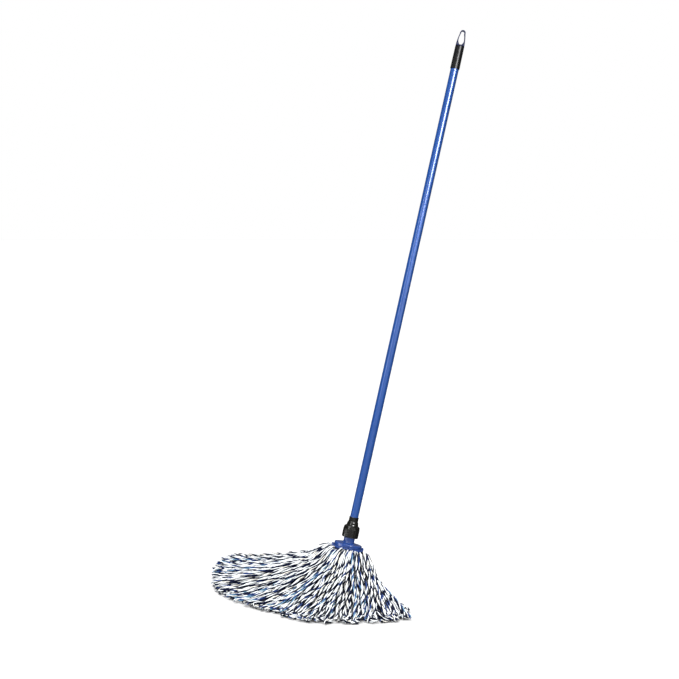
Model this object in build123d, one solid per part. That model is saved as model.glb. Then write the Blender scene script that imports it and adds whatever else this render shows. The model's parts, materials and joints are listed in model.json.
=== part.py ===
from build123d import *
import os
from math import cos, radians, sin, tan

# String mop, standing on its fanned-out yarn with the handle leaning.
# Frame: millimetres, +Z up, floor at Z = 0, origin on the floor under the middle of the refill ring.
# "s" is the distance along the handle's axis from the middle of the refill ring, "r" the radius from it.

# ---- the lean of the handle ----
RING_HEIGHT = 100.0  # middle of the refill ring above the floor
LEAN_RIGHT = 12.75  # degrees towards +X
LEAN_BACK = 7.5  # degrees towards +Y

# ---- handle ----
TUBE_OD = 22.0  # over the plastic film
FILM_THICKNESS = 0.3
TUBE_WALL = 0.4
TUBE_LENGTH = 1330.0
TUBE_BOTTOM = 21.0
TUBE_TOP = TUBE_BOTTOM + TUBE_LENGTH
STEEL_OD = TUBE_OD - 2 * FILM_THICKNESS
STEEL_ID = STEEL_OD - 2 * TUBE_WALL

# ---- end sleeve and hanging eye ----
SLEEVE_LENGTH = 61.5
SLEEVE_TOP = TUBE_TOP + 3.4
SLEEVE_BOTTOM = SLEEVE_TOP - SLEEVE_LENGTH
SLEEVE_OD_BOTTOM = 24.8
SLEEVE_OD_TOP = 23.8
EYE_RISE = 43.0  # from the sleeve's mouth to the top of the loop
EYE_BASE_OD = 23.4
EYE_DEPTH = 8.0
EYE_RIM = 3.1
EYE_STEM_D = 9.0
RUNNING_GAP = 0.06  # radial

# ---- clamp nut, collet and socket ----
NUT_OD = 43.5
NUT_BOTTOM = 29.2
NUT_SHOULDER = 59.4
COLLAR_STEP = 70.5  # where the collar narrows
COLLAR_TOP = 83.4
THREAD_OD = 34.0
NECK_OD = 29.0
SOCKET_DISC_OD = 73.0
SOCKET_DISC_BOTTOM = 4.3
SOCKET_DISC_TOP = 12.8
GRIP_FLUTES = 14
TAB_WIDTH = 9.0
TAB_COUNT = 4
TAB_START = -81.0  # degrees, the first tab's angle round the handle's axis

# ---- refill ring, clamp plate and screws ----
RING_OD = 86.0
RING_HALF = 4.0
SPIGOT_OD = 27.8
PLATE_OD = 54.0
PLATE_TOP = -5.0
PLATE_THICKNESS = 3.0
SCREW_COUNT = 4
SCREW_PCD = 44.0
SCREW_D = 3.0

# ---- yarn ----
FAN_BUNDLES = 24
SIDE_BUNDLES = 5  # the short ones on the side that the handle leans to
FAN_MIDDLE = 187.5  # degrees, the direction in which the yarn trails
FAN_HALF = 109.5  # degrees each side of the middle
FAN_ROOT_HALF = 150.0  # degrees of the ring each side of the middle that the fan starts from
RADIAL_SHARE = FAN_HALF / FAN_ROOT_HALF  # so that the yarn in the middle of the fan lies radially
ROOT_INNER_R = 29.0
ROOT_OUTER_R = 41.0
BUNDLE_THICKNESS = 10.0
TIP_THICKNESS = 14.0
SAG = 1.3  # 1 is a straight slope from ring to tip, more hangs lower
LANDING = 0.88  # share of the way out at which a bundle's underside reaches the floor
# reach of the yarn on the floor: direction in degrees, distance from the origin
REACH = [
    (78, 215),
    (100, 285),
    (127, 335),
    (140, 385),
    (149, 410),
    (158, 392),
    (172, 362),
    (190, 352),
    (211, 315),
    (232, 296),
    (248, 322),
    (297, 322),
    (310, 200),
    (322, 150),
    (340, 112),
    (360, 96),
    (380, 92),
    (405, 108),
    (420, 135),
    (438, 215),
]

head = Plane(
    origin=(0, 0, RING_HEIGHT),
    z_dir=(tan(radians(LEAN_RIGHT)), tan(radians(LEAN_BACK)), 1),
    x_dir=(1, 0, -tan(radians(LEAN_RIGHT))),
)


def turned(*outline):
    """A solid of revolution about the handle's axis, from its (r, s) outline."""
    points = [(r, 0, s) for r, s in outline]
    return revolve(make_face(Polyline(*points, close=True)), Axis.Z)


def pipe(outer_d, inner_d, bottom, top):
    return turned((inner_d / 2, bottom), (outer_d / 2, bottom), (outer_d / 2, top), (inner_d / 2, top))


def polar(radius, angle, s=0.0):
    return (radius * cos(radians(angle)), radius * sin(radians(angle)), s)


def around(count, start=0.0):
    return [start + 360 * i / count for i in range(count)]


# ------------------------------------------------------------------ handle


def make_handle_tube():
    return pipe(STEEL_OD, STEEL_ID, TUBE_BOTTOM, TUBE_TOP)


def make_tube_film():
    return pipe(TUBE_OD, STEEL_OD, TUBE_BOTTOM, TUBE_TOP)


def make_tube_end_plug():
    """Cap with a hollow stem, pressed into the lower end of the tube."""
    stem_wall = 1.8
    stem_top = TUBE_BOTTOM + 18
    return turned(
        (0, TUBE_BOTTOM - 2),
        (STEEL_OD / 2 - 0.6, TUBE_BOTTOM - 2),
        (STEEL_OD / 2, TUBE_BOTTOM - 1.4),
        (STEEL_OD / 2, TUBE_BOTTOM),
        (STEEL_ID / 2, TUBE_BOTTOM),
        (STEEL_ID / 2, stem_top - 1),
        (STEEL_ID / 2 - 0.8, stem_top),
        (STEEL_ID / 2 - stem_wall, stem_top),
        (STEEL_ID / 2 - stem_wall, TUBE_BOTTOM),
        (0, TUBE_BOTTOM),
    )


def make_grip_sleeve():
    """Tapered sleeve over the top of the tube, with softened rims."""
    bore = TUBE_OD / 2
    low = SLEEVE_OD_BOTTOM / 2
    high = SLEEVE_OD_TOP / 2
    return turned(
        (bore, SLEEVE_BOTTOM),
        (low - 0.5, SLEEVE_BOTTOM),
        (low, SLEEVE_BOTTOM + 0.7),
        (high, SLEEVE_TOP - 0.8),
        (high - 0.6, SLEEVE_TOP),
        (bore, SLEEVE_TOP),
    )


def make_eye_bush():
    """Plug pressed into the top of the tube: the hanging eye's stem turns in its bore."""
    bore = EYE_STEM_D / 2 + RUNNING_GAP
    flange_top = SLEEVE_TOP - 0.2
    return turned(
        (bore, TUBE_TOP - 22),
        (STEEL_ID / 2 - 0.8, TUBE_TOP - 22),
        (STEEL_ID / 2, TUBE_TOP - 21),
        (STEEL_ID / 2, TUBE_TOP),
        (TUBE_OD / 2, TUBE_TOP),
        (TUBE_OD / 2, flange_top),
        (bore, flange_top),
    )


def eye_outside():
    """The pointed-arch outline of the hanging loop, in the handle's own X and s."""
    base = SLEEVE_TOP + 0.4
    half = EYE_BASE_OD / 2
    shoulder = SLEEVE_TOP + EYE_RISE - 8.5
    narrow = 7.2
    right = Spline((half, 0, base), (half * 0.9, 0, base + 0.4 * (shoulder - base)), (narrow, 0, shoulder))
    crown = ThreePointArc((narrow, 0, shoulder), (0, 0, SLEEVE_TOP + EYE_RISE), (-narrow, 0, shoulder))
    left = mirror(right, Plane.YZ)
    return make_face([right, crown, left, Line(left @ 0, right @ 0)])


def eye_opening():
    """The opening of the loop: a teardrop with its rounded point towards the sleeve."""
    low = SLEEVE_TOP + 3.5
    top = SLEEVE_TOP + EYE_RISE - EYE_RIM
    shoulder = SLEEVE_TOP + EYE_RISE - 8.5
    narrow = 7.2 - EYE_RIM
    foot_half = 3.4
    foot_top = low + 1.6
    right = Spline(
        (foot_half, 0, foot_top), (7.3, 0, low + 10.0), (7.1, 0, low + 19.0), (narrow, 0, shoulder)
    )
    crown = ThreePointArc((narrow, 0, shoulder), (0, 0, top), (-narrow, 0, shoulder))
    left = mirror(right, Plane.YZ)
    foot = ThreePointArc(left @ 0, (0, 0, low), right @ 0)
    return make_face([right, crown, left, foot])


def make_hanging_eye():
    """Loop on a round base, with a stem through the bush and a retaining head below it."""
    base = SLEEVE_TOP + 0.4
    band = extrude(eye_outside(), EYE_DEPTH / 2, both=True)
    hole = extrude(eye_opening(), EYE_DEPTH, both=True)
    round_off = Pos(0, 0, base) * Cylinder(
        EYE_BASE_OD / 2, EYE_RISE, align=(Align.CENTER, Align.CENTER, Align.MIN)
    )
    loop = (band - hole) & round_off
    foot_disc = turned(
        (0, base), (EYE_BASE_OD / 2, base), (EYE_BASE_OD / 2 - 0.6, base + 2.4), (0, base + 2.4)
    )
    bush_bottom = TUBE_TOP - 22
    stem_r = EYE_STEM_D / 2
    head_r = stem_r + 1.4
    stem = turned(
        (0, bush_bottom - 5),
        (stem_r - 0.9, bush_bottom - 5),
        (head_r, bush_bottom - 2),
        (head_r, bush_bottom - 0.4),
        (stem_r, bush_bottom - 0.4),
        (stem_r, base + 1),
        (0, base + 1),
    )
    return loop + foot_disc + stem


# ------------------------------------------------------------------ clamp nut, collet and socket


def make_lock_nut():
    """Nut with a fluted wide part that runs on the socket, and a slim stepped collar round the tube."""
    big = NUT_OD / 2
    thread = THREAD_OD / 2 + 0.08
    pocket = 15.6
    guide = TUBE_OD / 2 + 0.3
    body = turned(
        (thread, NUT_BOTTOM),
        (big - 1.6, NUT_BOTTOM),
        (big - 0.4, NUT_BOTTOM + 0.6),
        (big, NUT_BOTTOM + 2.2),
        (big, NUT_SHOULDER - 8.4),
        (big - 0.3, NUT_SHOULDER - 6.8),
        (20.6, NUT_SHOULDER - 1.6),
        (19.9, NUT_SHOULDER - 0.5),
        (18.9, NUT_SHOULDER + 0.3),
        (17.2, NUT_SHOULDER + 1.0),
        (15.9, NUT_SHOULDER + 2.2),
        (15.3, NUT_SHOULDER + 4.0),
        (14.6, COLLAR_STEP - 1.6),
        (14.2, COLLAR_STEP - 0.5),
        (13.4, COLLAR_STEP),
        (12.8, COLLAR_STEP + 0.9),
        (12.2, COLLAR_TOP - 3.2),
        (12.9, COLLAR_TOP - 2.4),
        (12.9, COLLAR_TOP - 0.7),
        (12.4, COLLAR_TOP),
        (guide + 0.5, COLLAR_TOP),
        (guide, COLLAR_TOP - 1.0),
        (guide, 57.0),
        (pocket, 57.0),
        (pocket, 50.5),
        (thread, 49.0),
    )
    flute_r = 3.2
    flute_depth = 0.55
    flute_height = NUT_SHOULDER - 9 - NUT_BOTTOM - 3
    middle = (NUT_SHOULDER - 9 + NUT_BOTTOM + 3) / 2
    for angle in around(GRIP_FLUTES, 360 / GRIP_FLUTES / 2):
        centre = polar(big + flute_r - flute_depth, angle, middle)
        body -= Pos(*centre) * Cylinder(flute_r, flute_height)
    return body


def make_split_collet():
    """Split taper ring: the nut presses it into the socket's seat and it grips the tube."""
    bore = TUBE_OD / 2 + RUNNING_GAP
    ring = turned(
        (bore, 47.0),
        (12.7, 47.0),
        (14.1, 54.3),
        (15.2, 54.3),
        (15.2, 56.2),
        (14.6, 56.8),
        (bore, 56.8),
    )
    slot = Pos(13, 0, 52) * Box(8, 1.6, 12)
    return ring - slot


def make_socket():
    """Flanged socket: disc that sits on the refill ring, neck, thread land and the collet's seat."""
    bore = TUBE_OD / 2 + 0.15
    neck = NECK_OD / 2
    disc = SOCKET_DISC_OD / 2
    thread = THREAD_OD / 2
    spigot = SPIGOT_OD / 2
    body = turned(
        (10.4, -3.2),
        (spigot, -3.2),
        (spigot, SOCKET_DISC_BOTTOM),
        (17.0, SOCKET_DISC_BOTTOM),
        (17.0, 9.6),
        (33.4, 9.6),
        (33.4, SOCKET_DISC_BOTTOM),
        (disc, SOCKET_DISC_BOTTOM),
        (disc, SOCKET_DISC_TOP - 1.4),
        (disc - 0.4, SOCKET_DISC_TOP - 0.5),
        (disc - 1.3, SOCKET_DISC_TOP),
        (22.0, SOCKET_DISC_TOP + 0.4),
        (18.2, SOCKET_DISC_TOP + 1.0),
        (16.2, SOCKET_DISC_TOP + 2.2),
        (neck + 0.5, SOCKET_DISC_TOP + 4.4),
        (neck, SOCKET_DISC_TOP + 7.4),
        (neck, 33.0),
        (thread, 34.6),
        (thread, 46.0),
        (15.4, 47.4),
        (15.4, 54.0),
        (14.25, 54.0),
        (12.85, 46.7),
        (12.4, 46.4),
        (bore, 45.4),
        (bore, 18.6),
        (0, 18.6),
        (0, 14.6),
        (10.4, 14.6),
    )
    for angle in around(TAB_COUNT, TAB_START):
        bridge = Pos(38.9, 0, 5.9) * Box(7.8, TAB_WIDTH, 3.0)
        finger = Pos(41.5, 0, 1.8) * Box(2.6, TAB_WIDTH, 11.2)
        tab = bridge + finger
        tab = chamfer(tab.edges().filter_by(Axis.Y).group_by(Axis.X)[-1], 0.7)
        body += Rot(0, 0, angle) * tab
    return body


# ------------------------------------------------------------------ refill hardware


def screw_places():
    return around(SCREW_COUNT, TAB_START + 45)


def make_refill_ring():
    """Lower disc: a web with an outer skirt, a bore for the socket's spigot and four screw bosses."""
    outer = RING_OD / 2
    bore = SPIGOT_OD / 2 + 0.1
    body = turned(
        (bore, -RING_HALF),
        (17.4, -RING_HALF),
        (17.4, 1.0),
        (38.6, 1.0),
        (39.6, -RING_HALF),
        (outer - 0.6, -RING_HALF),
        (outer, -RING_HALF + 0.7),
        (outer, RING_HALF - 1.6),
        (outer - 0.5, RING_HALF - 0.5),
        (outer - 1.6, RING_HALF),
        (bore, RING_HALF),
    )
    boss_height = 1.5 - PLATE_TOP
    boss_middle = (1.5 + PLATE_TOP) / 2
    for angle in screw_places():
        body += Pos(*polar(SCREW_PCD / 2, angle, boss_middle)) * Cylinder(3.6, boss_height)
    for angle in screw_places():
        body -= Pos(*polar(SCREW_PCD / 2, angle, -2.0)) * Cylinder(SCREW_D / 2, 8.0)
    for angle in around(TAB_COUNT, TAB_START):
        body -= Rot(0, 0, angle) * Pos(43.0, 0, 0) * Box(6.4, TAB_WIDTH + 0.8, 12)
    return body


def make_clamp_plate():
    """Plate under the ring that pinches the yarn, with a turned-down rim."""
    low = PLATE_TOP - PLATE_THICKNESS
    rim = PLATE_OD / 2
    body = turned(
        (9.0, low),
        (rim - 2.2, low),
        (rim - 2.2, low - 2.0),
        (rim, low - 2.0),
        (rim, PLATE_TOP - 0.8),
        (rim - 0.8, PLATE_TOP),
        (9.0, PLATE_TOP),
    )
    for angle in screw_places():
        body -= Pos(*polar(SCREW_PCD / 2, angle, PLATE_TOP)) * Cylinder(SCREW_D / 2 + 0.2, 12)
    return body


def make_clamp_screws():
    """Pan-head self-tapping screws, one group."""
    low = PLATE_TOP - PLATE_THICKNESS
    screws = []
    for angle in screw_places():
        shank = turned((0, low), (SCREW_D / 2, low), (SCREW_D / 2, 1.0), (0, 1.9))
        pan = turned((0, low - 2.0), (2.0, low - 2.0), (2.8, low - 1.2), (2.8, low), (0, low))
        slot = Pos(0, 0, low - 2.0) * (Box(3.4, 0.8, 1.6) + Box(0.8, 3.4, 1.6))
        screws.append(Pos(*polar(SCREW_PCD / 2, angle)) * (shank + pan - slot))
    return Compound(children=screws)


# ------------------------------------------------------------------ yarn


def reach(direction):
    """Distance from the origin to the yarn's tips, between the listed directions."""
    for (a0, r0), (a1, r1) in zip(REACH, REACH[1:]):
        if direction <= a1:
            share = (direction - a0) / (a1 - a0)
            return r0 + (r1 - r0) * share
    return REACH[-1][1]


def root_angle(direction):
    """Angle round the ring from which the yarn that lies in this direction starts."""
    fan_end = FAN_MIDDLE + FAN_HALF
    if direction > fan_end:
        share = (direction - fan_end) / (360 - 2 * FAN_HALF)
        return FAN_MIDDLE + FAN_ROOT_HALF + share * (360 - 2 * FAN_ROOT_HALF)
    v = (direction - FAN_MIDDLE) / FAN_HALF
    return FAN_MIDDLE + FAN_ROOT_HALF * (RADIAL_SHARE * v + (1 - RADIAL_SHARE) * v**5)


def bundle_edge(direction, side):
    """One edge of a bundle at each cross-section beyond the ring, as (x, y, top, bottom)."""
    start = head.from_local_coords(Vector(*polar(ROOT_OUTER_R, root_angle(direction) + side, -RING_HALF - 1)))
    tip = Vector(*polar(reach(direction), direction + 0.35 * side))
    places = []
    for share in (0.14, 0.34, 0.56, 0.76, LANDING, 1.0):
        place = start + (tip - start) * share
        top = TIP_THICKNESS + (start.Z - TIP_THICKNESS) * (1 - share) ** SAG
        bottom = 0 if share >= LANDING else top - BUNDLE_THICKNESS
        places.append((place.X, place.Y, top, bottom))
    return places


def root_corners(direction, side, radius, top, bottom):
    angle = root_angle(direction) + side
    high = head.from_local_coords(Vector(*polar(radius, angle, top)))
    low = head.from_local_coords(Vector(*polar(radius, angle, bottom)))
    return high, low


def make_yarn_bundle(first, last):
    """One sector of the fanned yarn, from under the ring to the tips on the floor, clear of the next."""
    sections = []
    for radius, top, bottom in ((ROOT_INNER_R, -4.8, -11.5), (ROOT_OUTER_R, -5.0, -15.0)):
        a_high, a_low = root_corners(first, 1, radius, top, bottom)
        b_high, b_low = root_corners(last, -1, radius, top, bottom)
        sections.append(make_face(Polyline(a_high, b_high, b_low, a_low, close=True)))
    for a, b in zip(bundle_edge(first, 1), bundle_edge(last, -1)):
        corners = [(a[0], a[1], a[2]), (b[0], b[1], b[2]), (b[0], b[1], b[3]), (a[0], a[1], a[3])]
        sections.append(make_face(Polyline(*corners, close=True)))
    return loft(sections, ruled=True)


def make_yarn_core():
    """The inner strands that hang under the clamp plate and stand on the floor."""
    outline = [(0, 0), (60, 0), (51, 30), (39, 56), (24, 76), (0, 76)]
    points = [(r, 0, z) for r, z in outline]
    return revolve(make_face(Polyline(*points, close=True)), Axis.Z)


# ------------------------------------------------------------------ write the parts

on_axis = {
    "handle_tube": make_handle_tube(),
    "tube_film": make_tube_film(),
    "tube_end_plug": make_tube_end_plug(),
    "grip_sleeve": make_grip_sleeve(),
    "eye_bush": make_eye_bush(),
    "hanging_eye": make_hanging_eye(),
    "lock_nut": make_lock_nut(),
    "split_collet": make_split_collet(),
    "socket": make_socket(),
    "refill_ring": make_refill_ring(),
    "yarn_clamp_plate": make_clamp_plate(),
    "clamp_screws": make_clamp_screws(),
}
nodes = {name: head.location * part for name, part in on_axis.items()}
nodes["yarn_core"] = make_yarn_core()
fan_start = FAN_MIDDLE - FAN_HALF
fan_end = FAN_MIDDLE + FAN_HALF
edges = [fan_start + 2 * FAN_HALF * i / FAN_BUNDLES for i in range(FAN_BUNDLES)]
edges += [fan_end + (360 - 2 * FAN_HALF) * i / SIDE_BUNDLES for i in range(SIDE_BUNDLES + 1)]
for i, (first, last) in enumerate(zip(edges, edges[1:])):
    nodes[f"yarn_bundle_{i + 1:02d}"] = make_yarn_bundle(first, last)

os.makedirs("parts", exist_ok=True)
for name, part in nodes.items():
    part.label = name
    export_step(part, f"parts/{name}.step")
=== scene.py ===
import json
from math import cos, pi, radians, sin

import bpy
import numpy as np
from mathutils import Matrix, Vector


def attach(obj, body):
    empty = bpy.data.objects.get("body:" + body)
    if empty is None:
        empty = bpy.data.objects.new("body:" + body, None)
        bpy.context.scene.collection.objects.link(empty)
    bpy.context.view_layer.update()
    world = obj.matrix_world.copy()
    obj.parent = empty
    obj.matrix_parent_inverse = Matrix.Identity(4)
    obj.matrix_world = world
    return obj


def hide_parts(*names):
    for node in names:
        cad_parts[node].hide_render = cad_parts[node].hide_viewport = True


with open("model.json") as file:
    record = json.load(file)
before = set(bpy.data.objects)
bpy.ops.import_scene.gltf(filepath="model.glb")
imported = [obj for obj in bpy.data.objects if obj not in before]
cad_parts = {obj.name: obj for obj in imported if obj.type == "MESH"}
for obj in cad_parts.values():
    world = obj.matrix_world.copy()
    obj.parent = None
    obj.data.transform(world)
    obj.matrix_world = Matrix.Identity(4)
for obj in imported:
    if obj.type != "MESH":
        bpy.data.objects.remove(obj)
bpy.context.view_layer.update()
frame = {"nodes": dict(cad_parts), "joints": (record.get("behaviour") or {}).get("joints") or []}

# String mop. Metres and degrees. The hard pieces are the CAD nodes with procedural materials. The yarn is
# made here, strand by strand, over the sectors that the CAD bundles hold.

# ---------------------------------------------------------------- the head's own frame

RING_HEIGHT = 0.100  # middle of the refill ring, straight above the origin
AXIS = Vector(frame["joints"][0]["axis"]).normalized()  # along the handle
ACROSS = Vector((1, 0, -AXIS.x / AXIS.z)).normalized()
BEHIND = AXIS.cross(ACROSS)
HEAD = np.array([ACROSS, BEHIND, AXIS])
RING_MIDDLE = np.array([0, 0, RING_HEIGHT])


def on_head(radius, angle, s):
    """The point at that radius and angle round the handle's axis, s along it from the ring's middle."""
    return RING_MIDDLE + np.array([radius * cos(radians(angle)), radius * sin(radians(angle)), s]) @ HEAD


# ---------------------------------------------------------------- node helpers


class Shader:
    """A material being built: each method adds a node and returns its output socket."""

    def __init__(self, name):
        self.material = bpy.data.materials.new(name)
        self.material.use_nodes = True
        self.nodes = self.material.node_tree.nodes
        self.links = self.material.node_tree.links
        self.surface = self.nodes["Principled BSDF"]

    def add(self, kind, inputs=None, output=0, **settings):
        node = self.nodes.new(kind)
        for key, value in settings.items():
            setattr(node, key, value)
        for key, value in (inputs or {}).items():
            if isinstance(value, bpy.types.NodeSocket):
                self.links.new(value, node.inputs[key])
            else:
                node.inputs[key].default_value = value
        return node.outputs[output]

    def place(self, scale=(1, 1, 1), turn=(0, 0, 0)):
        """Object coordinates in metres, turned and then stretched."""
        where = self.add("ShaderNodeTexCoord", output="Object")
        return self.add("ShaderNodeMapping", {"Vector": where, "Rotation": turn, "Scale": scale})

    def noise(self, where, scale, detail=4.0, roughness=0.55):
        inputs = {"Vector": where, "Scale": scale, "Detail": detail, "Roughness": roughness}
        return self.add("ShaderNodeTexNoise", inputs, output="Fac")

    def ramp(self, value, *stops):
        """Colours or greys at the given places between 0 and 1."""
        node = self.nodes.new("ShaderNodeValToRGB")
        self.links.new(value, node.inputs["Fac"])
        elements = node.color_ramp.elements
        while len(elements) < len(stops):
            elements.new(0.5)
        for element, (place, colour) in zip(elements, stops):
            element.position = place
            element.color = (*colour, 1) if isinstance(colour, tuple) else (colour, colour, colour, 1)
        return node.outputs["Color"]

    def mix(self, share, a, b):
        node = self.nodes.new("ShaderNodeMix")
        node.data_type = "RGBA"
        for socket, value in ((node.inputs[0], share), (node.inputs[6], a), (node.inputs[7], b)):
            if isinstance(value, bpy.types.NodeSocket):
                self.links.new(value, socket)
            else:
                socket.default_value = (*value, 1) if isinstance(value, tuple) else value
        return node.outputs[2]

    def bump(self, height, distance, strength=1.0, normal=None):
        inputs = {"Height": height, "Distance": distance, "Strength": strength}
        if normal is not None:
            inputs["Normal"] = normal
        return self.add("ShaderNodeBump", inputs)

    def openness(self, reach):
        """1 in the open and less where other surfaces stand within that reach; it drives the painted shade in
        corners and between strands.
        """
        return self.add("ShaderNodeAmbientOcclusion", {"Distance": reach}, output="AO", samples=SHADE_SAMPLES)

    def finish(self, **inputs):
        """Sets the Principled inputs, with _ for a space in their names, and returns the material."""
        for key, value in inputs.items():
            socket = self.surface.inputs[key.replace("_", " ")]
            if isinstance(value, bpy.types.NodeSocket):
                self.links.new(value, socket)
            else:
                socket.default_value = (*value, 1) if isinstance(value, tuple) else value
        return self.material


# the handle leans a little, and these turns bring its axis onto the texture's Z
UPRIGHT = (radians(7.5), radians(-12.6), 0)
CORNER_SHADE_REACH = 0.008  # how near other surfaces must be for a corner to take painted shade
CREVICE_SHADE_REACH = 0.010  # and for the gap between strands to take painted shade
SHADE_SAMPLES = 8


def film_material():
    """Blue shrink film: fine lengthwise draw lines, slight unevenness and a few scuffs."""
    m = Shader("blue_film")
    draw_lines = m.noise(m.place((700, 700, 9), UPRIGHT), 1.0, 5)
    mottle = m.noise(m.place((1, 1, 0.25), UPRIGHT), 38, 3)
    scuffs = m.noise(m.place((210, 210, 60), UPRIGHT), 1.0, 9, 0.7)
    worn = m.ramp(scuffs, (0.62, 0.0), (0.78, 0.25))
    base = m.mix(m.ramp(mottle, (0.3, 0.0), (0.7, 1.0)), (0.006, 0.060, 0.275), (0.010, 0.072, 0.315))
    colour = m.mix(worn, base, (0.045, 0.13, 0.39))
    gloss = m.ramp(scuffs, (0.35, 0.30), (0.75, 0.42))
    normal = m.bump(draw_lines, 0.00001, 0.3)
    return m.finish(
        Base_Color=colour, Metallic=0.3, Roughness=gloss, Normal=normal, Coat_Weight=1.0, Coat_Roughness=0.12
    )


def moulded_material(name, low, high, gloss, grain=1400.0, depth=0.00005, specular=0.5, coat=0.0):
    """Injection-moulded plastic: fine spark grain, flow mottling, handling wear and painted shade in its
    corners.
    """
    m = Shader(name)
    spark = m.noise(m.place(), grain, 2, 0.5)
    flow = m.noise(m.place((1, 1, 0.4)), 55, 5)
    rubbed = m.noise(m.place(), 160, 8, 0.65)
    colour = m.mix(m.ramp(flow, (0.3, 0.0), (0.7, 1.0)), low, high)
    worn = tuple(min(1.0, c * 1.5 + 0.01) for c in high)
    colour = m.mix(m.ramp(rubbed, (0.60, 0.0), (0.80, 0.35)), colour, worn)
    openness = m.openness(CORNER_SHADE_REACH)
    # painted shade: the colour goes darker where other surfaces stand close, in corners and under parts
    colour = m.mix(m.ramp(openness, (0.35, 0.8), (0.75, 0.0)), colour, tuple(c * 0.25 for c in low))
    rough = m.ramp(rubbed, (0.3, gloss), (0.75, gloss + 0.16))
    return m.finish(
        Base_Color=colour,
        Roughness=rough,
        Normal=m.bump(spark, depth, 0.5),
        Specular_IOR_Level=specular,
        Coat_Weight=coat,
        Coat_Roughness=0.07,
    )


def steel_material(name, tone, stretch):
    """Drawn or plated steel: fine lines along the piece and a little staining."""
    m = Shader(name)
    lines = m.noise(m.place(stretch, UPRIGHT), 1.0, 4)
    stain = m.noise(m.place(), 60, 6)
    colour = m.mix(m.ramp(stain, (0.4, 0.0), (0.75, 1.0)), tone, tuple(c * 0.72 for c in tone))
    rough = m.ramp(lines, (0.3, 0.24), (0.7, 0.42))
    return m.finish(Base_Color=colour, Metallic=1.0, Roughness=rough, Normal=m.bump(lines, 0.00003, 0.5))


def yarn_material(name, dark, light, sheen):
    """One ply of spun yarn: fibres running round the ply at a slant, with slubs, a soft sheen and painted
    shade where other strands stand close.
    """
    m = Shader(name)
    rod = m.add("ShaderNodeAttribute", output="Vector", attribute_name="rod")
    fibres = m.noise(m.add("ShaderNodeMapping", {"Vector": rod, "Scale": (2600, 2600, 260)}), 1.0, 3, 0.6)
    slubs = m.noise(m.add("ShaderNodeMapping", {"Vector": rod, "Scale": (120, 120, 70)}), 1.0, 4, 0.6)
    colour = m.mix(m.ramp(fibres, (0.35, 0.0), (0.62, 1.0)), dark, light)
    colour = m.mix(m.ramp(slubs, (0.35, 0.22), (0.62, 0.0)), colour, tuple(c * 0.62 for c in dark))
    openness = m.openness(CREVICE_SHADE_REACH)
    # painted shade: near-black navy where other strands stand close, for the dark gaps between strands
    colour = m.mix(m.ramp(openness, (0.48, 1.0), (0.68, 0.0)), colour, (0.001, 0.003, 0.011))
    normal = m.bump(fibres, 0.0006, 0.55, m.bump(slubs, 0.0012, 0.4))
    return m.finish(
        Base_Color=colour,
        Roughness=0.92,
        Normal=normal,
        Specular_IOR_Level=0.15,
        Sheen_Weight=sheen,
        Sheen_Roughness=0.5,
    )


# ---------------------------------------------------------------- hard pieces


def dress(materials):
    """Gives each CAD node its material."""
    for node, material in materials.items():
        mesh = frame["nodes"][node].data
        mesh.materials.clear()
        mesh.materials.append(material)
        mesh.shade_smooth()
        mesh.set_sharp_from_angle(angle=radians(32))


blue_plastic = moulded_material("blue_plastic", (0.013, 0.048, 0.215), (0.019, 0.062, 0.265), 0.16, coat=0.5)
black_plastic = moulded_material(
    "black_plastic", (0.0036, 0.0036, 0.0022), (0.0056, 0.0056, 0.0040), 0.18, specular=0.3, coat=0.8
)
sleeve_plastic = moulded_material(
    "black_sleeve",
    (0.0042, 0.0045, 0.0050),
    (0.0066, 0.0070, 0.0075),
    0.22,
    grain=2200.0,
    depth=0.00002,
    specular=0.3,
)
natural_plastic = moulded_material("natural_plastic", (0.62, 0.59, 0.50), (0.72, 0.69, 0.60), 0.38)
eye_plastic = moulded_material(
    "eye_plastic", (0.003, 0.008, 0.042), (0.006, 0.013, 0.062), 0.38, specular=0.15
)

dress(
    {
        "handle_tube": steel_material("tube_steel", (0.52, 0.52, 0.53), (900, 900, 12)),
        "tube_film": film_material(),
        "tube_end_plug": black_plastic,
        "grip_sleeve": sleeve_plastic,
        "eye_bush": natural_plastic,
        "hanging_eye": eye_plastic,
        "lock_nut": black_plastic,
        "split_collet": natural_plastic,
        "socket": blue_plastic,
        "refill_ring": blue_plastic,
        "yarn_clamp_plate": blue_plastic,
        "clamp_screws": steel_material("screw_steel", (0.60, 0.59, 0.57), (500, 500, 500)),
    }
)

# ---------------------------------------------------------------- yarn: where it lies

FAN_BUNDLES = 24
SIDE_BUNDLES = 5
FAN_MIDDLE = 187.5  # the direction in which the yarn trails
FAN_HALF = 109.5  # degrees each side of it
FAN_START = FAN_MIDDLE - FAN_HALF
FAN_END = FAN_MIDDLE + FAN_HALF
FAN_ROOT_HALF = 150.0  # degrees of the ring each side of the middle that the fan starts from
RADIAL_SHARE = FAN_HALF / FAN_ROOT_HALF  # so that the yarn in the middle of the fan lies radially
ROOT_OUTER_R = 0.041
SAG = 1.3  # 1 is a straight slope from ring to tip, more hangs lower

# the tables below give a value by direction on the floor
REACH = [  # distance from the origin to the tips
    (78, 0.215),
    (100, 0.285),
    (127, 0.335),
    (140, 0.398),
    (149, 0.422),
    (158, 0.393),
    (167, 0.366),
    (178, 0.359),
    (190, 0.349),
    (211, 0.325),
    (232, 0.308),
    (248, 0.336),
    (297, 0.336),
]
# how thick the tips lie on each other: most where the yarn trails, least in front
PILE_SHARE = [(78, 0.4), (115, 0.4), (135, 0.6), (150, 0.9), (165, 0.9), (185, 0.6), (297, 0.5)]
# how much each strand of the fan wanders on its own
WANDER = [(78, 0.9), (110, 0.45), (200, 0.45), (240, 0.9), (297, 0.9)]
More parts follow.
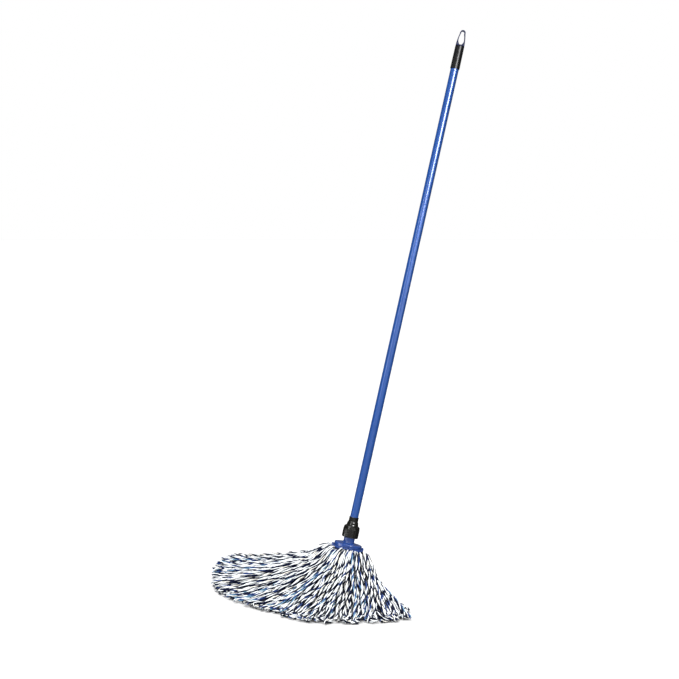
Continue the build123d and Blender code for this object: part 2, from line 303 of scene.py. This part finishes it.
# share of the ends that turn into hooks and loops
CURLING = [(78, 0.5), (110, 0.12), (215, 0.15), (240, 0.75), (285, 0.75), (297, 0.4)]


def by_direction(table, direction):
    """The table's value in that direction, between its rows in proportion."""
    return float(np.interp(direction, [d for d, _ in table], [value for _, value in table]))


def root_angle(direction):
    """Angle round the ring from which the yarn that lies in this direction starts."""
    if direction > FAN_END:
        share = (direction - FAN_END) / (360 - 2 * FAN_HALF)
        return FAN_MIDDLE + FAN_ROOT_HALF + share * (360 - 2 * FAN_ROOT_HALF)
    v = (direction - FAN_MIDDLE) / FAN_HALF
    return FAN_MIDDLE + FAN_ROOT_HALF * (RADIAL_SHARE * v + (1 - RADIAL_SHARE) * v**5)


# ---------------------------------------------------------------- yarn: one strand

STRAND_R = 0.0031
PLY_R = 0.00162
PLY_ORBIT = 0.00150
LAY_PITCH = 0.042  # one turn of the plies
STEP = 0.0036  # distance between the points of a strand
PLY_SIDES = 6
PLY_COUNT = 3
FIBRE_TWIST = 900  # radians a metre
FRAY = 0.012  # length over which the plies open at the tip
TIP_TAPER = 0.004  # length over which a strand thins towards its tip
TIP_SHARE = 0.35  # and what is left of its thickness there
ROOT_TAPER = 0.05  # the same at the clamp, where it is pinched
CLAMPED_SHARE = 0.62
OPENING = (0.5, 1.9)  # how much further out the plies lie at the tip, least and greatest
WAVER = 0.06  # share by which a strand's thickness rises and falls
WAVER_RATE = (180, 320)  # radians a metre
LAY_SHIFT = 0.003  # how far the turns of the lay are bunched and spread, with this many radians a metre
LAY_SHIFT_RATE = 60
PILE = 0.024  # depth of the strands on each other at the tips
SKIRT_DEPTH = 0.045  # and where the skirt is thickest, beside the ring
FRONT_RISE = 0.0062  # how far the yarn bulges up over the ring's rim in front
BACK_RISE = 0.0030
CLEAR_OF_FLOOR = 0.0003
EDGE = 7  # degrees at the fan's front end that lie on top of the rest
EDGE_DEPTH = 0.5
ROOT_SPREAD = 2.0  # degrees by which strands stray round the ring
ROOT_UNEVEN = 0.0010  # and up and down at its rim
# from the clamp, under the ring and up round its rim: radius, s, share of the rise, and how far the strands
# at the inside of the skirt lie below those on top
ROOT_ROUTE = [
    (0.0290, -0.0080, 0.0, 0.006),
    (0.0430, -0.0095, 0.0, 0.012),
    (0.0485, -0.0045, 0.5, 0.019),
    (0.0510, -0.0010, 1.0, 0.026),
]


def strand_start(angle, depth, rng):
    """The first points of a strand, as far as the ring's rim."""
    front = max(0.0, -sin(radians(angle)))
    back = max(0.0, sin(radians(angle)))
    rise = FRONT_RISE * front**0.6 + BACK_RISE * back
    uneven = (0.0, 0.0, 0.0, ROOT_UNEVEN * rng.normal())
    return [
        on_head(radius, angle, s + share * rise - drop * depth + shift)
        for (radius, s, share, drop), shift in zip(ROOT_ROUTE, uneven)
    ]


AIM_SPREAD = 0.9  # degrees by which strands of the fan stray from their direction
UNEVEN_REACH = 0.11  # share of the reach by which the shortest falls short
# sideways waves: size, number along the strand, and degrees of direction for a radian of phase
SHARED_WAVES = [(0.0040, 0.9, 4.1), (0.0016, 2.3, 1.7)]
# waves of each strand's own: usual size, least and greatest number along the strand
OWN_WAVES = [(0.0036, 0.6, 1.5), (0.0016, 2.2, 4.5)]
BOUNCE = 0.0016  # usual size of its up and down waves
BOUNCE_WAVES = 2.3
FAN_POINTS = 30
ROOT_SHARE = 0.18  # share of the run over which a strand leaves the ring's height for the skirt's surface
SETTLING = 0.12  # share of its height that a curled end loses at each step


def fan_strand(direction, depth, rng):
    """Centre line of a strand of the fan. depth is 0 on top of the skirt by the ring and 1 at its inside."""
    angle = root_angle(direction) + rng.normal(0, ROOT_SPREAD)
    points = strand_start(angle, depth, rng)
    start = points[-1]
    curl = curl_of(direction, rng)
    far = by_direction(REACH, direction) * (1 - UNEVEN_REACH * rng.random() ** 1.5) - curl["room"]
    aim = direction + rng.normal(0, AIM_SPREAD)
    run = np.array([far * cos(radians(aim)), far * sin(radians(aim)), 0]) - start
    run[2] = 0
    sideways = np.array([-run[1], run[0], 0]) / np.linalg.norm(run)
    loose = by_direction(WANDER, direction)
    waves = [(size, count, direction / turn) for size, count, turn in SHARED_WAVES]
    for size, fewest, most in OWN_WAVES:
        waves.append((rng.normal(0, size * loose), rng.uniform(fewest, most), rng.uniform(0, 2 * pi)))
    phase = rng.random()
    bounce = rng.normal(0, BOUNCE * loose)
    tip_z = STRAND_R + (PILE - 2 * STRAND_R) * rng.random() * by_direction(PILE_SHARE, direction)
    top = on_head(ROOT_OUTER_R, angle, -0.005)[2] - STRAND_R
    for share in np.linspace(0, 1, FAN_POINTS)[1:]:
        surface = PILE - STRAND_R + (top - PILE + STRAND_R) * (1 - share) ** SAG
        under = depth * SKIRT_DEPTH * (1 - share) ** 0.8 + (PILE - STRAND_R - tip_z) * share**1.8
        z = start[2] + (surface - under - start[2]) * min(1.0, share / ROOT_SHARE)
        z += bounce * sin(2 * pi * (share * BOUNCE_WAVES + phase))
        offset = sum(size * sin(2 * pi * count * share + start_at) for size, count, start_at in waves)
        offset *= min(1.0, 3 * share)
        point = start + run * share + sideways * offset
        points.append(np.array([point[0], point[1], max(z, STRAND_R)]))
    return curled(points, curl)


def curled(points, curl):
    """Adds the end that turns on the floor."""
    heading = np.arctan2(*(points[-1] - points[-3])[[1, 0]])
    height = points[-1][2]
    for i in range(curl["steps"]):
        heading += curl["bend"] * STEP
        height += (STRAND_R + curl["lift"] * sin(pi * i / curl["steps"]) - height) * SETTLING
        points.append(points[-1] + STEP * np.array([cos(heading), sin(heading), 0]))
        points[-1][2] = max(height, STRAND_R)
    return evened(np.array(points))


EASY_BEND = 7  # usual bend of an end that lies nearly straight, in radians a metre
EASY_ROOM = 0.010
EASY_STEPS = (2, 5)
HOOK_BEND = (90, 200)  # least and greatest bend of a hook or loop, in radians a metre
HOOK_TURN = (0.8, 3.8)  # radians that it turns through
HOOK_LIFT = 0.012  # how far it may stand up from the floor


def curl_of(direction, rng):
    """How a strand's end turns on the floor: hardly on the trailing side, in hooks and loops at the front.

    bend is in radians a metre, room is the reach that the turn takes up, and lift how far it stands up.
    """
    if rng.random() > by_direction(CURLING, direction):
        bend = rng.normal(0, EASY_BEND)
        return {"bend": bend, "steps": int(rng.uniform(*EASY_STEPS)), "room": EASY_ROOM, "lift": 0.0}
    bend = rng.choice([-1, 1]) * rng.uniform(*HOOK_BEND)
    turn = rng.uniform(*HOOK_TURN)
    steps = int(turn / abs(bend) / STEP)
    room = 1.0 / abs(bend) + 0.004
    return {"bend": bend, "steps": steps, "room": room, "lift": rng.uniform(0, HOOK_LIFT)}


# strands on the side that the handle leans to drop from the ring and sweep round to the front or the back
SWEEP_SPLIT = 385  # directions above this sweep to the back
SWEEP_RADIUS = 0.021
SWEEP_DROP = 0.040  # run over which a swept strand loses most of its height
SWEEP_PILE = 0.010  # how high the tips lie on each other
SWEEP_DRIFT = 0.25  # usual size, in radians, of the waves in a strand's heading
SWEEP_WAVES = (50, 110)  # radians a metre
DRIFT_GROWTH = 0.08  # run over which the waves grow to their full size
# direction that the strands end in, its spread, and their length beyond the ring's rim
FORWARD_SWEEP = (285, 3.5, 0.295)
BACKWARD_SWEEP = (456, 5, 0.165)


def swept_strand(direction, depth, rng):
    """Centre line of a strand on the side that the handle leans to."""
    angle = root_angle(direction) + rng.normal(0, ROOT_SPREAD)
    points = strand_start(angle, depth, rng)
    forward = direction < SWEEP_SPLIT
    middle, spread, full_length = FORWARD_SWEEP if forward else BACKWARD_SWEEP
    aim = radians(rng.normal(middle, spread))
    length = full_length * rng.uniform(0.86, 1.0) * (1 - 0.12 * depth)
    heading = radians(angle)
    turn = -1 if forward else 1
    start_z = points[-1][2]
    rest_z = STRAND_R + SWEEP_PILE * rng.random() * (1 - depth)
    radius = SWEEP_RADIUS * (1 - 0.45 * depth)
    wave = (rng.normal(0, SWEEP_DRIFT), rng.uniform(*SWEEP_WAVES), rng.uniform(0, 6))
    gone = 0.0
    while gone < length:
        if (aim - heading) * turn > 0:
            heading += turn * STEP / radius
        drift = wave[0] * sin(wave[1] * gone + wave[2]) * min(1.0, gone / DRIFT_GROWTH)
        gone += STEP
        z = rest_z + (start_z - rest_z) * np.exp(-((gone / SWEEP_DROP) ** 1.1))
        points.append(points[-1] + STEP * np.array([cos(heading + drift), sin(heading + drift), 0]))
        points[-1][2] = max(z, STRAND_R)
    return evened(np.array(points))


def evened(points):
    """The same line with points STEP apart and its corners softened."""
    for _ in range(2):
        along = np.concatenate([[0], np.cumsum(np.linalg.norm(np.diff(points, axis=0), axis=1))])
        places = np.linspace(0, along[-1], max(8, int(along[-1] / STEP)))
        points = np.column_stack([np.interp(places, along, points[:, k]) for k in range(3)])
        for _ in range(3):
            points[1:-1] = (points[:-2] + 2 * points[1:-1] + points[2:]) / 4
    return points


def strand_frames(points):
    """Two unit vectors square to the line at each of its points, turning as little as they can."""
    along = np.gradient(points, axis=0)
    along /= np.linalg.norm(along, axis=1)[:, None]
    first = np.cross(along[0], [0, 0, 1])
    sides = [first / np.linalg.norm(first)]
    for direction in along[1:]:
        side = sides[-1] - direction * np.dot(sides[-1], direction)
        sides.append(side / np.linalg.norm(side))
    sides = np.array(sides)
    return sides, np.cross(along, sides)


def strand_mesh(points, sizes, rng):
    """Vertices, quads, the ply of each quad and the rod coordinates of a three-ply strand along points."""
    count = len(points)
    side, up = strand_frames(points)
    along = np.arange(count) * STEP
    left = along[-1] - along
    opened = np.clip(1 - left / FRAY, 0, 1) ** 1.5
    end_taper = np.clip(left / TIP_TAPER + TIP_SHARE, 0, 1)
    root_taper = np.clip(along / ROOT_TAPER + CLAMPED_SHARE, 0, 1)
    waver = 1 + WAVER * np.sin(along * rng.uniform(*WAVER_RATE) + rng.uniform(0, 6))
    first_turn = rng.uniform(0, 2 * pi)
    pitch = LAY_PITCH * rng.uniform(0.85, 1.2)
    turns = first_turn + 2 * pi * (along + LAY_SHIFT * np.sin(along * LAY_SHIFT_RATE)) / pitch
    corners = np.arange(PLY_SIDES) * 2 * pi / PLY_SIDES
    vertices, quads, plies, rods = [], [], [], []
    ring = np.arange(PLY_SIDES)
    for ply in range(PLY_COUNT):
        angle = turns + 2 * pi * ply / PLY_COUNT
        orbit = PLY_ORBIT * root_taper * (1 + opened * rng.uniform(*OPENING))
        centre = points + side * (orbit * np.cos(angle))[:, None] + up * (orbit * np.sin(angle))[:, None]
        radius = PLY_R * sizes[ply] * waver * root_taper * end_taper * (1 - 0.25 * opened)
        spin = angle[:, None] + corners[None, :]
        out = side[:, None, :] * np.cos(spin)[..., None] + up[:, None, :] * np.sin(spin)[..., None]
        rings = centre[:, None, :] + out * radius[:, None, None]
        base = sum(len(v) for v in vertices)
        vertices.append(rings.reshape(-1, 3))
        start = base + np.arange(count - 1)[:, None] * PLY_SIDES
        a = start + ring
        b = start + (ring + 1) % PLY_SIDES
        quads.append(np.stack([a, b, b + PLY_SIDES, a + PLY_SIDES], axis=-1).reshape(-1, 4))
        plies.append(np.full((count - 1) * PLY_SIDES, ply))
        fibre = corners[None, :] + FIBRE_TWIST * along[:, None]
        seed = rng.uniform(0, 5)
        length = np.broadcast_to(along[:, None] + seed, fibre.shape)
        rod = np.stack([PLY_R * np.cos(fibre), PLY_R * np.sin(fibre), length], axis=-1)
        rods.append(rod.reshape(-1, 3))
    ends = []
    for ply in range(PLY_COUNT):
        first = ply * count * PLY_SIDES
        last = first + (count - 1) * PLY_SIDES
        ends.append((first + ring[::-1], ply))
        ends.append((last + ring, ply))
    return np.concatenate(vertices), np.concatenate(quads), np.concatenate(plies), np.concatenate(rods), ends


# ---------------------------------------------------------------- yarn: colours

YARN = {
    "white": yarn_material("yarn_white", (0.83, 0.87, 0.89), (0.92, 0.95, 0.97), 0.3),
    "cream": yarn_material("yarn_cream", (0.82, 0.79, 0.71), (0.93, 0.90, 0.83), 0.3),
    "navy": yarn_material("yarn_navy", (0.001, 0.003, 0.015), (0.003, 0.010, 0.050), 0.0),
    "blue": yarn_material("yarn_blue", (0.008, 0.028, 0.130), (0.020, 0.066, 0.270), 0.05),
    "sky": yarn_material("yarn_sky", (0.08, 0.20, 0.34), (0.18, 0.36, 0.52), 0.1),
}
TONES = list(YARN)
PLY_SIZE = {"white": 1.0, "cream": 1.0, "navy": 1.04, "blue": 1.04, "sky": 0.96}
# the plies that strands are laid up from, and how common each kind is on top of the skirt and inside it,
# where the raised share of dark navy kinds is painted shade between the strands
LAY_UPS = [
    (("white", "white", "navy"), 0.50, 0.20),
    (("white", "cream", "navy"), 0.20, 0.10),
    (("white", "navy", "navy"), 0.11, 0.32),
    (("white", "white", "blue"), 0.10, 0.04),
    (("white", "blue", "navy"), 0.06, 0.20),
    (("white", "sky", "blue"), 0.03, 0.14),
]
SKY_PATCHES = (152, 168, 214, 246, 262, 277, 289)  # directions in which much of the yarn is light blue
SKY_PATCH_HALF = 0.8
SKY_PATCH_SHARE = 0.5  # what is added there to the share of the last kind
INSIDE_SHADE_GROWTH = 1.6  # how fast the shares change with depth, towards the darker mix that paints shade inside the skirt


def pick_lay_up(direction, depth, rng):
    """The tones of a strand's plies: mostly white on top of the skirt, darker inside it as painted shade
    between the strands.
    """
    shares = np.array([top + (inside - top) * min(1.0, INSIDE_SHADE_GROWTH * depth) for _, top, inside in LAY_UPS])
    if min(abs(direction - patch) for patch in SKY_PATCHES) < SKY_PATCH_HALF:
        shares[-1] += SKY_PATCH_SHARE
    return LAY_UPS[rng.choice(len(LAY_UPS), p=shares / shares.sum())][0]


def yarn_piece(name, strands, nodes):
    """One piece from (path, direction, depth, rng) strands. It stands for the CAD nodes named."""
    vertices, faces, tones, rods = [], [], [], []
    for path, direction, depth, rng in strands:
        tones_used = pick_lay_up(direction, depth, rng)
        lay_up = [TONES.index(tone) for tone in tones_used]
        sizes = [PLY_SIZE[tone] for tone in tones_used]
        points, quads, plies, rod, ends = strand_mesh(path, sizes, rng)
        points[:, 2] = np.maximum(points[:, 2], CLEAR_OF_FLOOR)
        base = sum(len(v) for v in vertices)
        vertices.append(points)
        rods.append(rod)
        faces += (quads + base).tolist() + [(end + base).tolist() for end, _ in ends]
        tones += [lay_up[p] for p in plies] + [lay_up[p] for _, p in ends]
    mesh = bpy.data.meshes.new(name)
    mesh.from_pydata(np.concatenate(vertices).tolist(), [], faces)
    for tone in TONES:
        mesh.materials.append(YARN[tone])
    mesh.polygons.foreach_set("material_index", tones)
    rod_attribute = mesh.attributes.new("rod", "FLOAT_VECTOR", "POINT")
    rod_attribute.data.foreach_set("vector", np.concatenate(rods).astype(np.float32).ravel())
    mesh.shade_smooth()
    piece = bpy.data.objects.new(name, mesh)
    bpy.context.scene.collection.objects.link(piece)
    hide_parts(*nodes)
    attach(piece, "refill")


# ---------------------------------------------------------------- yarn: the whole skirt

FAN_STRANDS = 20  # in each sector of the fan
TRAIL_STRANDS = 25  # in the sectors that trail furthest
TRAIL_SECTORS = (120, 185)  # directions between which these start
SIDE_STRANDS = 18
CORE_STRANDS = 36
GOLDEN = 0.618  # spreads the depths of neighbouring strands
FIRST_SEED = 40
CORE_SEED = 7
CORE_TWIST_SEED = 900


def sector(first, last, count, seed):
    """Strands spread over a sector, their depths spread too."""
    strands = []
    rng = np.random.default_rng(seed)
    for k in range(count):
        direction = first + (last - first) * (k + rng.random()) / count
        depth = (GOLDEN * (k + 7 * seed)) % 1.0
        if FAN_END - EDGE < direction < FAN_END:
            depth *= EDGE_DEPTH
        strand = fan_strand if direction < FAN_END else swept_strand
        path = strand(direction, depth, rng)
        strands.append((path, direction, depth, np.random.default_rng(seed * 1000 + k)))
    return strands


CORE_ROOT_R = (0.012, 0.026)  # least and greatest distance from the axis at the clamp plate
CORE_ROOT_S = -0.013
CORE_FOOT_R = (0.035, 0.072)  # and from the origin where they reach the floor
CORE_BOW = 0.25  # how far they bow out on the way, as a share of that
CORE_BEND = (40, 80)  # radians a metre on the floor
CORE_STEPS = (7, 16)  # and how many steps they run on there
CORE_POINTS = 12


def core_strand(turn, rng):
    """A strand that hangs from under the clamp plate and turns aside on the floor, under the skirt."""
    out = radians(turn)
    root = on_head(rng.uniform(*CORE_ROOT_R), turn, CORE_ROOT_S)
    far = rng.uniform(*CORE_FOOT_R)
    foot = np.array([far * cos(out), far * sin(out), STRAND_R])
    points = []
    for share in np.linspace(0, 1, CORE_POINTS):
        bow = CORE_BOW * far * sin(pi * share)
        point = root + (foot - root) * share + bow * np.array([cos(out), sin(out), 0.4])
        points.append(np.maximum(point, [-1, -1, STRAND_R]))
    heading = out
    bend = rng.uniform(*CORE_BEND) * (1 if sin(out) >= 0 else -1)
    for _ in range(int(rng.uniform(*CORE_STEPS))):
        heading += bend * STEP
        points.append(points[-1] + STEP * np.array([cos(heading), sin(heading), 0]))
    return evened(np.array(points))


fan_width = 2 * FAN_HALF / FAN_BUNDLES
side_width = (360 - 2 * FAN_HALF) / SIDE_BUNDLES
sectors = []
for i in range(FAN_BUNDLES):
    first = FAN_START + fan_width * i
    trailing = TRAIL_SECTORS[0] < first < TRAIL_SECTORS[1]
    sectors.append((first, first + fan_width, TRAIL_STRANDS if trailing else FAN_STRANDS))
for i in range(SIDE_BUNDLES):
    first = FAN_END + side_width * i
    sectors.append((first, first + side_width, SIDE_STRANDS))
for i, (first, last, count) in enumerate(sectors):
    strands = sector(first, last, count, FIRST_SEED + i)
    yarn_piece(f"yarn_strands_{i + 1:02d}", strands, [f"yarn_bundle_{i + 1:02d}"])

core_rng = np.random.default_rng(CORE_SEED)
core = []
for k in range(CORE_STRANDS):
    turn = 360 * k / CORE_STRANDS
    path = core_strand(turn, core_rng)
    core.append((path, turn, 1.0, np.random.default_rng(CORE_TWIST_SEED + k)))
yarn_piece("yarn_core_strands", core, ["yarn_core"])

# ---------------------------------------------------------------- stage

FLOOR_HALF = 14


def floor():
    """Plain pale floor, faintly uneven in tone."""
    m = Shader("floor_pale")
    speckle = m.noise(m.place(), 9, 4)
    tone = m.mix(speckle, (0.575, 0.575, 0.575), (0.595, 0.595, 0.595))
    m.finish(Base_Color=tone, Roughness=0.9, Specular_IOR_Level=0.0)
    mesh = bpy.data.meshes.new("floor")
    corners = [(FLOOR_HALF * x, FLOOR_HALF * y, 0) for x, y in ((-1, -1), (1, -1), (1, 1), (-1, 1))]
    mesh.from_pydata(corners, [], [(0, 1, 2, 3)])
    mesh.materials.append(m.material)
    plane = bpy.data.objects.new("floor", mesh)
    plane.visible_glossy = False
    bpy.context.scene.collection.objects.link(plane)


def softbox(name, place, aim, size, power, shine_only=False):
    """A rectangular lamp. With shine_only it shows in reflections and lights nothing."""
    light = bpy.data.lights.new(name, "AREA")
    light.shape = "RECTANGLE"
    light.size, light.size_y = size
    light.energy = power
    lamp = bpy.data.objects.new(name, light)
    lamp.location = place
    lamp.rotation_euler = (Vector(aim) - Vector(place)).to_track_quat("-Z", "Y").to_euler()
    lamp.visible_diffuse = not shine_only
    bpy.context.scene.collection.objects.link(lamp)


CAMERA_PLACE = (-0.0205, -3.783, 1.152)
TIPPED_DOWN = 7.5
LENS = 78.256


def camera():
    """Stands in front at chest height, tipped down a little, the whole mop in view."""
    data = bpy.data.cameras.new("camera")
    data.lens = LENS
    data.sensor_width = 36
    cam = bpy.data.objects.new("camera", data)
    cam.location = CAMERA_PLACE
    cam.rotation_euler = (radians(90 - TIPPED_DOWN), 0, 0)
    bpy.context.scene.collection.objects.link(cam)
    bpy.context.scene.camera = cam


DOME = 2.4
SIDE_SHARE = 0.22  # brightness left at both sides of the dome
DOME_SHINE = 0.17  # how bright the dome is in reflections
BACK_SHINE = 0.25  # and what is left of that behind the mop


def dome():
    """Soft light from all round, dimmer at both sides, so that the tube's edges go dark.

    The camera sees plain white.
    """
    world = bpy.data.worlds.new("studio")
    world.use_nodes = True
    nodes, links = world.node_tree.nodes, world.node_tree.links

    def maths(operation, first, second=None, third=None):
        node = nodes.new("ShaderNodeMath")
        node.operation = operation
        for socket, value in zip(node.inputs, (first, second, third)):
            if isinstance(value, bpy.types.NodeSocket):
                links.new(value, socket)
            elif value is not None:
                socket.default_value = value
        return node.outputs[0]

    def fade(value, low, high, at_low, at_high):
        node = nodes.new("ShaderNodeMapRange")
        node.interpolation_type = "SMOOTHSTEP"
        links.new(value, node.inputs["Value"])
        for key, limit in (("From Min", low), ("From Max", high), ("To Min", at_low), ("To Max", at_high)):
            node.inputs[key].default_value = limit
        return node.outputs[0]

    where = nodes.new("ShaderNodeTexCoord")
    split = nodes.new("ShaderNodeSeparateXYZ")
    links.new(where.outputs["Generated"], split.inputs[0])
    rays = nodes.new("ShaderNodeLightPath")
    sides = fade(maths("ABSOLUTE", split.outputs["X"]), 0.40, 0.80, DOME, DOME * SIDE_SHARE)
    behind = fade(split.outputs["Y"], -0.3, 0.3, DOME_SHINE, DOME_SHINE * BACK_SHINE)
    shine = maths("MULTIPLY_ADD", rays.outputs["Is Glossy Ray"], maths("SUBTRACT", behind, 1.0), 1.0)
    light = nodes["Background"]
    light.inputs["Color"].default_value = (1, 1, 1, 1)
    links.new(maths("MULTIPLY", sides, shine), light.inputs["Strength"])
    seen = nodes.new("ShaderNodeBackground")
    seen.inputs["Color"].default_value = (1, 1, 1, 1)
    choice = nodes.new("ShaderNodeMixShader")
    links.new(rays.outputs["Is Camera Ray"], choice.inputs["Fac"])
    links.new(light.outputs[0], choice.inputs[1])
    links.new(seen.outputs[0], choice.inputs[2])
    links.new(choice.outputs[0], nodes["World Output"].inputs["Surface"])
    bpy.context.scene.world = world


floor()
dome()
softbox("overhead", (-0.5, -0.5, 3.0), (-0.05, 0.0, 0.0), (1.6, 1.6), 36)
softbox("high_right", (1.09, -2.11, 1.85), (0.27, 0.16, 1.25), (1.35, 0.8), 80, shine_only=True)
softbox("low_right", (1.90, -1.54, 0.78), (0.18, 0.10, 0.80), (0.5, 0.65), 4, shine_only=True)
softbox("high_left", (-1.45, -1.71, 1.48), (0.18, 0.10, 0.75), (0.45, 0.95), 8, shine_only=True)
softbox("low_left", (-2.25, -0.82, 0.27), (0.0, 0.0, 0.11), (1.7, 0.26), 8, shine_only=True)
camera()
bpy.context.scene.view_settings.view_transform = "Standard"
